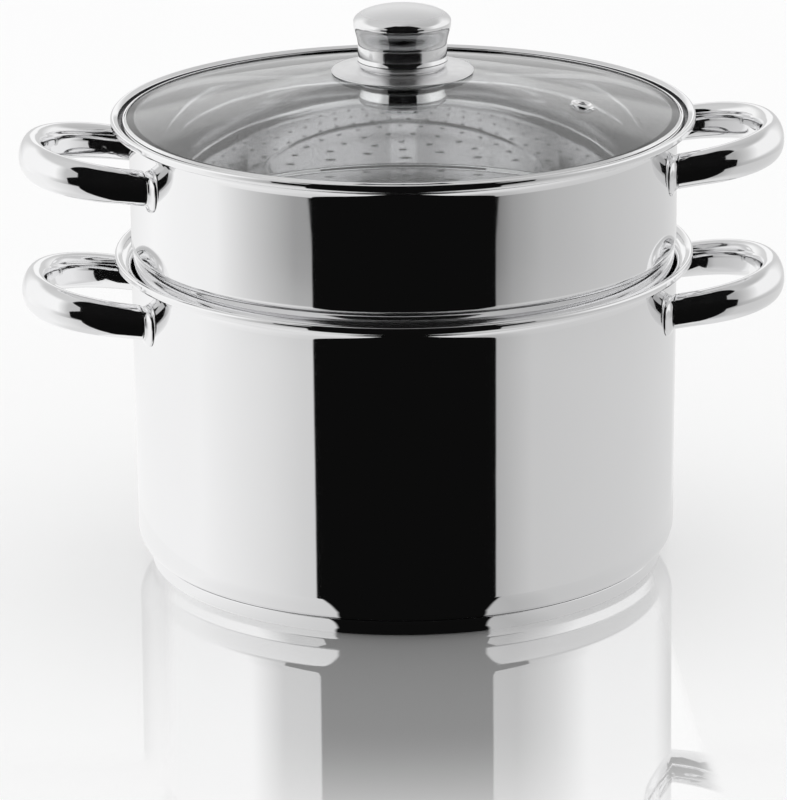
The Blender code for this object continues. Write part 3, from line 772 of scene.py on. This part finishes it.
class Loop:
    """Places along one loop handle, with its outward direction on +X."""

    def __init__(self, wall_radius, lip_top):
        self.wall_radius = wall_radius
        self.start = wall_radius + HANDLE_STRAIGHT
        self.depth = wall_radius + HANDLE_REACH - TUBE_WIDTH_AT_TIP / 2 - self.start
        self.end_radius = wall_radius + PLAY + FOOT_LENGTH
        self.low = lip_top - HANDLE_DROP

    def height(self, outward):
        """The loop rises evenly from its feet to its tip."""
        share = (outward - self.end_radius) / (self.start + self.depth - self.end_radius)
        return self.low + HANDLE_LIFT * share

    def centre(self, share):
        """The tube's middle at a share of the way round, on half a squarish oval."""
        angle = math.pi * share
        power = 2 / HANDLE_SQUARENESS
        sideways = math.copysign(abs(math.cos(angle)) ** power, -math.cos(angle))
        outward = self.start + self.depth * max(0.0, math.sin(angle)) ** power
        return Vector((outward, sideways * HANDLE_HALF_SPAN, self.height(outward)))

    def ring(self, share, grow=0.0):
        """The tube's section at a share of the way round, square to the loop in plan."""
        step = 1e-3
        along = self.centre(min(1.0, share + step)) - self.centre(max(0.0, share - step))
        along.z = 0
        along.normalize()
        side = Vector((along.y, -along.x, 0))
        centre = self.centre(share)
        swell = (centre.z - self.low) / HANDLE_LIFT
        swell = max(0.0, swell) ** TUBE_GROWTH
        offsets = section(
            between(TUBE_WIDTH_AT_FOOT, TUBE_WIDTH_AT_TIP, swell) + 2 * grow,
            between(TUBE_HEIGHT_AT_FOOT, TUBE_HEIGHT_AT_TIP, swell) + 2 * grow,
            TUBE_LEAN_AT_TIP * swell,
            between(TUBE_SQUARENESS_AT_FOOT, TUBE_SQUARENESS_AT_TIP, swell),
        )
        return [centre + side * across + Vector((0, 0, up)) for across, up in offsets]

    def wall_ring(self, share, radius, grow):
        """The section at an end of the tube, laid on a cylinder round the pot's axis."""
        made = []
        tall = TUBE_HEIGHT_AT_FOOT / 2
        for point in self.ring(share, grow):
            outward = math.sqrt(radius**2 - point.y**2)
            up = point.z - self.height(point.x)
            if grow > 0 and up > 0:
                up *= (tall + FLANGE_ON_TOP * grow) / (tall + grow)
            made.append(Vector((outward, point.y, self.height(outward) + up)))
        return made


def tube_rings(loop):
    """Rings of the tube from end to end, with its edges rolled in a little."""
    rings = []
    for share in (0.0, 1.0):
        ends = []
        for lift, grow in TUBE_END_PROFILE:
            ends.append(loop.wall_ring(share, loop.end_radius + lift * MM, grow * MM))
        if share:
            ends.reverse()
        rings.append(ends)
    middle = [loop.ring(i / TUBE_STATIONS) for i in range(1, TUBE_STATIONS)]
    return rings[0] + middle + rings[1]


def foot_rings(loop, share):
    """Rings of the flared foot from the wall outwards."""
    rings = []
    for out, part in FOOT_PROFILE:
        rings.append(loop.wall_ring(share, loop.wall_radius + out * MM, part * FOOT_FLANGE))
    return rings


def handles(tier, wall_radius, lip_top, turn):
    """Both loops of a tier with their four feet. The front is on -Y."""
    for word, angle in (("left", math.pi + turn), ("right", turn)):
        loop = Loop(wall_radius, lip_top)
        spin = Matrix.Rotation(angle, 4, "Z")
        tube = swept_mesh(f"{tier}_{word}_loop", tube_rings(loop))
        tube.transform(spin)
        placed(tube.name, tube, [HANDLE_STEEL], tier, [f"{tier}_handle_{word}"])
        for share in (0.0, 1.0):
            place = "front" if (share == 0.0) == (word == "right") else "back"
            foot = swept_mesh(f"{tier}_{word}_foot_{place}", foot_rings(loop, share))
            foot.transform(spin)
            node = f"{tier}_handle_foot_{word}_{place}"
            placed(foot.name, foot, [HANDLE_STEEL], tier, [node])


# Lid
def bend_drop(radius):
    """How far a curve falls that is flat in the middle, then bends into a cone of slope 1."""
    return math.hypot(max(0.0, radius - GLASS_FLAT), GLASS_BEND) - GLASS_BEND


def glass_top(radius):
    """Height of the glass's upper face."""
    return APEX - GLASS_RISE * bend_drop(radius) / bend_drop(GLASS_RADIUS)


def band_under(radius):
    """Height of the band's underside, just above the flare that it rests on."""
    return flare_height(radius) + PLAY


def lid_glass():
    """The domed pane, thinned at its edge to fit the band, with the vent's hole."""
    inner_low = LID_RADIUS - BAND_LOWER_WIDTH
    reach = GLASS_RADIUS - SCREW_HOLE_RADIUS
    radii = [SCREW_HOLE_RADIUS + reach * i / GLASS_STEPS for i in range(GLASS_STEPS + 1)]
    top = [(radius, glass_top(radius)) for radius in radii]
    low = (inner_low + LID_RADIUS) / 2
    edge = [(radius, band_under(radius) + BAND_SHEET + PLAY) for radius in (GLASS_RADIUS, low)]
    inner = [radius for radius in reversed(radii) if radius < inner_low]
    under = [(radius, glass_top(radius) - GLASS_THICKNESS) for radius in inner]
    stretches = [(0, top), (0, edge + under)]
    glass = turned("lid_pane", stretches, [GLASS], "lid", ["lid_glass"])
    cutter = bmesh.new()
    radius = VENT_BORE / 2 + VENT_BARREL + PLAY
    add_pin(cutter, radius, 4 * GLASS_THICKNESS, SMALL_SEGMENTS, vent_matrix())
    cut(glass, cutter)


def lid_band():
    """Steel channel round the glass: a top that slopes outwards and a flange below."""
    inner_top = LID_RADIUS - BAND_WIDTH
    inner_low = LID_RADIUS - BAND_LOWER_WIDTH
    groove = LID_RADIUS - BAND_SHEET
    lip_under = glass_top(inner_top) + BAND_LIP_GAP
    crown = glass_top(inner_top) + PLAY + BAND_SHEET
    width = inner_low - LID_RADIUS
    radii = [LID_RADIUS + width * i / BAND_STEPS for i in range(BAND_STEPS + 1)]
    roll = (inner_top + BAND_INNER_ROLL, crown - BAND_INNER_ROLL)
    over = [(inner_top, lip_under), (inner_top, roll[1])]
    over += arc(roll, (BAND_INNER_ROLL,) * 2, 180, BAND_SLOPE_NORMAL, BAND_STEPS + 2)
    roll = (LID_RADIUS - BAND_ROLL, crown - BAND_FALL)
    over += arc(roll, (BAND_ROLL,) * 2, BAND_SLOPE_NORMAL, 0, BAND_STEPS)
    under = [(radius, band_under(radius)) for radius in radii]
    seat = [radius for radius in reversed(radii) if radius <= groove]
    back = [(radius, band_under(radius) + BAND_SHEET) for radius in seat]
    ceiling = STEAMER_TOP - BAND_DEPTH - BAND_SHEET
    inside = [(groove, band_under(groove) + BAND_SHEET), (groove, ceiling)]
    # Painted shade: the band's outer wall and underside in near-black steel
    stretches = [(0, over), (1, [over[-1]] + under), (0, back + inside)]
    turned("lid_rim", stretches, [POLISHED, PAINTED_SHADE_STEEL], "lid", ["lid_band"])


def vent_matrix():
    """Place of the vent on the glass, square to its slope."""
    slope = (glass_top(VENT_DISTANCE - MM) - glass_top(VENT_DISTANCE + MM)) / (2 * MM)
    place = Matrix.Rotation(VENT_ANGLE, 4, "Z")
    place = place @ Matrix.Translation((VENT_DISTANCE, 0, glass_top(VENT_DISTANCE)))
    return place @ Matrix.Rotation(math.atan(slope), 4, "Y")


def vent_grommet():
    """The eyelet: a barrel through the glass with a rolled flange at each end."""
    bore = VENT_BORE / 2
    barrel = bore + VENT_BARREL
    flange = barrel + VENT_FLANGE
    below = -GLASS_THICKNESS
    roll = (flange - bore) / 2
    top = arc((bore + roll, HAIR), (roll, VENT_SHEET + PLAY), 180, 0)
    foot = arc((bore + roll, below - HAIR), (roll, VENT_SHEET + PLAY), 0, -180)
    stretches = [(0, top + [(barrel, HAIR), (barrel, below - HAIR)] + foot)]
    mesh = turned_mesh("vent_eyelet", stretches, SMALL_SEGMENTS)
    mesh.transform(vent_matrix())
    placed("vent_eyelet", mesh, [POLISHED], "lid", ["vent_grommet"])


# Knob
def knob_plate():
    """The disc on the glass, whose rim follows the glass down."""
    seat = PLATE_SEAT_RADIUS
    rim_under = glass_top(PLATE_RADIUS) + PLAY
    edge = (PLATE_RADIUS - PLATE_SHEET * 0.5, rim_under + PLATE_SHEET * 0.5)
    fall = PLATE_TOP - edge[1] - PLATE_SHEET * 0.5

    def skin(drop):
        """Flat under the knob, then curving down to the rim."""
        points = [(SCREW_HOLE_RADIUS, PLATE_TOP - drop), (seat, PLATE_TOP - drop)]
        for i in range(1, 2 * ARC_STEPS):
            share = i / (2 * ARC_STEPS)
            radius = seat + (edge[0] - seat) * share
            points.append((radius, PLATE_TOP - drop - fall * share**PLATE_CURVE))
        return points

    rim = arc(edge, (PLATE_SHEET * 0.5,) * 2, PLATE_EDGE_START, -90)
    outline = skin(0) + rim + skin(PLATE_SHEET)[::-1]
    turned("knob_disc", [(0, outline)], [DISC], "lid", ["knob_plate"])


def turned_knob(name, stretches, look, node):
    """A turned piece of the knob."""
    return turned(name, stretches, [look], "lid", [node], KNOB_SEGMENTS)


def knob_base_ring():
    """The collar between plate and knob, which narrows downwards."""
    top = RING_BOTTOM + BASE_RING_HEIGHT
    radii = (KNOB_RIM_RADIUS - PLATE_SEAT_RADIUS, BASE_RING_HEIGHT)
    outline = [(SCREW_HOLE_RADIUS, top)] + arc((PLATE_SEAT_RADIUS, top), radii, 0, -90)
    outline += [(radius, PLATE_TOP + HAIR) for radius in (PLATE_SEAT_RADIUS, SCREW_HOLE_RADIUS)]
    turned_knob("knob_collar", [(0, outline)], POLISHED, "knob_base_ring")


def knob_skin(inset):
    """The knob's outline from its rim over the waist to the top of the dome."""
    waist = KNOB_WAIST_RADIUS - inset
    cap = KNOB_CAP_RADIUS - inset
    rise = KNOB_CAP_LEVEL - KNOB_WAIST_HEIGHT
    skin = [(KNOB_RIM_RADIUS - inset, KNOB_BOTTOM), (waist, KNOB_BOTTOM + KNOB_RIM_HEIGHT)]
    for i in range(2 * ARC_STEPS + 1):
        share = i / (2 * ARC_STEPS)
        swell = (cap - waist) * (0.5 - 0.5 * math.cos(math.pi * share))
        skin.append((waist + swell, KNOB_LEVEL - rise * (1 - share)))
    skin += arc((0, KNOB_LEVEL), (cap, KNOB_DOME_RISE - inset), 0, 90, DOME_STEPS)[1:]
    return skin


def knob_shell():
    """The drawn shell of the knob, open below."""
    stretches = [(0, knob_skin(KNOB_SHEET)[::-1]), (0, knob_skin(0))]
    turned_knob("knob_skin", stretches, KNOB_STEEL, "knob_shell")


def knob_lower_cup():
    """The cup under the glass, with a rolled foot."""
    height = CUP_TOP - CUP_BOTTOM
    roll = height / 4
    centre = (CUP_FOOT_RADIUS - roll, CUP_BOTTOM + roll)

    def skin(inset):
        points = [(CUP_WAIST_RADIUS - inset, CUP_TOP - inset)]
        points += [(CUP_WAIST_RADIUS - inset, CUP_TOP - height * CUP_WAIST_SHARE)]
        return points + arc(centre, (roll - inset,) * 2, *CUP_FOOT_ANGLES)

    outline = [(CUP_HOLE_RADIUS, CUP_TOP)] + skin(0) + skin(CUP_SHEET)[::-1]
    outline += [(CUP_HOLE_RADIUS, CUP_TOP - CUP_SHEET)]
    turned_knob("knob_under_cup", [(0, outline)], POLISHED, "knob_lower_cup")


# Carried-over CAD pieces
def dress_inner_pieces():
    """The pieces that no side shows keep their solids and get a material."""
    looks = {
        "heat_spreader": CAST,
        "knob_insert": CAST,
        "knob_screw": SATIN,
        "knob_washer": SATIN,
        "knob_seal": SILICONE,
    }
    for node, look in looks.items():
        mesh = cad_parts[node].data
        mesh.materials.clear()
        mesh.materials.append(look)


# Studio
def floor_look():
    """Pale paper with a sheen: strongest in a lane as wide as the set, and weaker beside it.

    It fades further out, and beside the lane in front there is none. To steel close above it,
    the floor glows instead with a painted reflection: the black card's foot, narrow near the set,
    between grey sides.
    """
    made, nodes = new_material("floor_paper")
    place = nodes.add("ShaderNodeTexCoord").outputs["Object"]
    tone = nodes.mix(nodes.noise(place, 3.0, 1.0), grey(0.97), grey(0.985))
    paper = nodes.add("ShaderNodeBsdfDiffuse", {"Color": tone})
    sheen = nodes.add("ShaderNodeBsdfGlossy", {"Color": grey(1.0), "Roughness": 0.01})
    distance = nodes.add("ShaderNodeVectorMath", {0: place}, operation="LENGTH").outputs["Value"]
    split = nodes.add("ShaderNodeSeparateXYZ", {"Vector": place})
    lane = nodes.steps(nodes.math("ABSOLUTE", split.outputs[0]), *LANE_EDGE)
    beside = nodes.steps(split.outputs[1], *LANE_FRONT)
    beside = nodes.math("MULTIPLY", beside, SHEEN_BESIDE_LANE)
    lane = nodes.math("MAXIMUM", lane, beside)
    far = nodes.steps(distance, *SHEEN_FADE)
    share = nodes.math("SUBTRACT", SHEEN, nodes.math("MULTIPLY", far, SHEEN_LOSS))
    share = nodes.math("MULTIPLY", share, lane)
    both = nodes.add("ShaderNodeMixShader", {0: share, 1: paper.outputs[0], 2: sheen.outputs[0]})
    # The painted reflection: grey sides, with the black card's foot in front
    forward = nodes.math("MULTIPLY", split.outputs[1], -1.0)
    bearing = nodes.math("ARCTAN2", split.outputs[0], forward)
    bearing = nodes.math("ADD", bearing, CAMERA_SIDE / 2)
    turn = nodes.math("ADD", nodes.math("DIVIDE", bearing, 2 * math.pi), 0.5)
    sides = nodes.bearings(turn, FLOOR_SIDES)
    out = nodes.math("MAXIMUM", distance, CARD_FOOT_RADIUS)
    reach = nodes.math("MULTIPLY_ADD", out, CARD_FOOT_GROWTH)
    reach.node.inputs[2].default_value = CARD_FOOT_HALF - CARD_FOOT_RADIUS * CARD_FOOT_GROWTH
    room = nodes.math("SUBTRACT", reach, nodes.math("ABSOLUTE", bearing))
    card = nodes.steps(room, -CARD_FOOT_SOFT, CARD_FOOT_SOFT)
    painted_reflection = nodes.add("ShaderNodeEmission", {"Color": nodes.mix(card, sides, grey(CARD_GREY))})
    # Rays from the steel see the glowing painted reflection instead of the paper and its sheen
    mirrored = nodes.add("ShaderNodeLightPath").outputs["Is Glossy Ray"]
    inputs = {0: mirrored, 1: both.outputs[0], 2: painted_reflection.outputs[0]}
    surface = nodes.add("ShaderNodeMixShader", inputs)
    nodes.add("ShaderNodeOutputMaterial", {"Surface": surface.outputs[0]})
    return made


def floor():
    """The floor in three parts. The steel reflects only the ring close round the base."""
    look = floor_look()
    foot = CAP_RADIUS - CAP_CORNER
    parts = [
        ("floor_under_base", 0.0, foot, False),
        ("near_floor", foot, NEAR_FLOOR_RADIUS, True),
        ("far_floor", NEAR_FLOOR_RADIUS, FAR_FLOOR_RADIUS, False),
    ]
    for name, inner, outer, seen in parts:
        mesh = bmesh.new()
        rings = []
        for radius in (inner, outer):
            ring = []
            for i in range(SHELL_SEGMENTS):
                angle = 2 * math.pi * i / SHELL_SEGMENTS
                corner = (radius * math.cos(angle), radius * math.sin(angle), 0)
                ring.append(mesh.verts.new(corner))
            rings.append(ring)
        for i in range(SHELL_SEGMENTS):
            j = (i + 1) % SHELL_SEGMENTS
            mesh.faces.new((rings[0][i], rings[1][i], rings[1][j], rings[0][j]))
        bmesh.ops.remove_doubles(mesh, verts=mesh.verts[:], dist=1e-6)
        data = as_mesh(name, mesh)
        data.materials.append(look)
        thing = as_object(name, data)
        thing.visible_glossy = seen


def tent():
    """A light tent as the world: pale sides, a grey ceiling and a black card in front.

    Bearings are in degrees to the right of the front, where the photograph was taken from, and
    heights in degrees above the horizon. The camera sees plain white behind the set.
    """
    world = bpy.data.worlds.new("tent")
    world.use_nodes = True
    bpy.context.scene.world = world
    nodes = Nodes(world.node_tree)
    way = nodes.add("ShaderNodeTexCoord").outputs["Generated"]
    split = nodes.add("ShaderNodeSeparateXYZ", {"Vector": way})
    back = nodes.math("MULTIPLY", split.outputs[1], -1.0)
    bearing = nodes.math("ARCTAN2", split.outputs[0], back)
    bearing = nodes.math("ADD", bearing, CAMERA_SIDE)
    turn = nodes.math("ADD", nodes.math("DIVIDE", bearing, 2 * math.pi), 0.5)
    rise = nodes.math("ARCSINE", split.outputs[2])
    width = nodes.math("ABSOLUTE", bearing)

    def passing(angle, ends):
        """Smooth 0 to 1 as the angle goes from the first end to the second, in degrees."""
        return nodes.steps(angle, math.radians(ends[0]), math.radians(ends[1]))

    low = nodes.bearings(turn, LOW_WALL)
    middle = nodes.bearings(turn, MIDDLE_WALL)
    high = nodes.bearings(turn, HIGH_WALL)
    ceiling = nodes.bearings(turn, CEILING)
    sides = nodes.mix(passing(rise, TO_LOW_WALL), middle, low)
    sides = nodes.mix(passing(rise, TO_HIGH_WALL), sides, high)
    sides = nodes.mix(passing(rise, TO_CEILING), sides, ceiling)
    sides = nodes.mix(passing(rise, TO_UNDERSIDE), sides, grey(UNDERSIDE))

    # The camera sees the white patch behind the set in the floor's sheen
    patch = nodes.math("MULTIPLY", passing(rise, PATCH_LOW), passing(rise, PATCH_HIGH))
    patch = nodes.math("MULTIPLY", passing(width, PATCH_SIDE), patch)
    sides = nodes.mix(patch, sides, grey(1.0))

    level = nodes.math("ADD", nodes.math("DIVIDE", rise, math.pi), 0.5)
    reach = nodes.ramp(level, [(0.5 + place / 180, half / 90) for place, half in CARD_SHAPE])
    room = nodes.math("SUBTRACT", reach, nodes.math("DIVIDE", width, math.pi / 2))
    card = nodes.steps(room, -CARD_SOFT, CARD_SOFT)
    seen = nodes.mix(card, sides, grey(CARD_GREY))

    path = nodes.add("ShaderNodeLightPath").outputs
    mirror = nodes.math("MAXIMUM", path["Is Glossy Ray"], path["Is Transmission Ray"])
    colour = nodes.mix(mirror, grey(1.0), seen)
    light = nodes.add("ShaderNodeBackground", {"Color": colour, "Strength": 1.0})
    nodes.add("ShaderNodeOutputWorld", {"Surface": light.outputs[0]})


def camera():
    """The photograph's view: from the front, a little to the left and above."""
    data = bpy.data.cameras.new("camera")
    data.lens = CAMERA_LENS
    data.sensor_width = SENSOR_WIDTH
    data.shift_x = CAMERA_SHIFT
    data.clip_end = CAMERA_REACH
    thing = as_object("camera", data)
    away = Vector((-math.sin(CAMERA_SIDE), -math.cos(CAMERA_SIDE), 0)) * CAMERA_DISTANCE
    away.z = CAMERA_HEIGHT
    turn = Matrix.Rotation(-CAMERA_SIDE, 4, "Z")
    turn = turn @ Matrix.Rotation(math.pi / 2 - CAMERA_PITCH, 4, "X")
    turn = turn @ Matrix.Rotation(-CAMERA_ROLL, 4, "Z")
    thing.matrix_world = Matrix.Translation(away) @ turn
    bpy.context.scene.camera = thing


def main():
    casserole()
    base_cap()
    steamer()
    handles("casserole", POT_RADIUS, POT_TOP, 0.0)
    handles("steamer", STEAMER_RADIUS, STEAMER_TOP, STEAMER_TURN)
    lid_glass()
    lid_band()
    vent_grommet()
    knob_plate()
    knob_base_ring()
    knob_shell()
    knob_lower_cup()
    dress_inner_pieces()
    floor()
    tent()
    camera()
    bpy.context.scene.view_settings.view_transform = "Standard"


main()
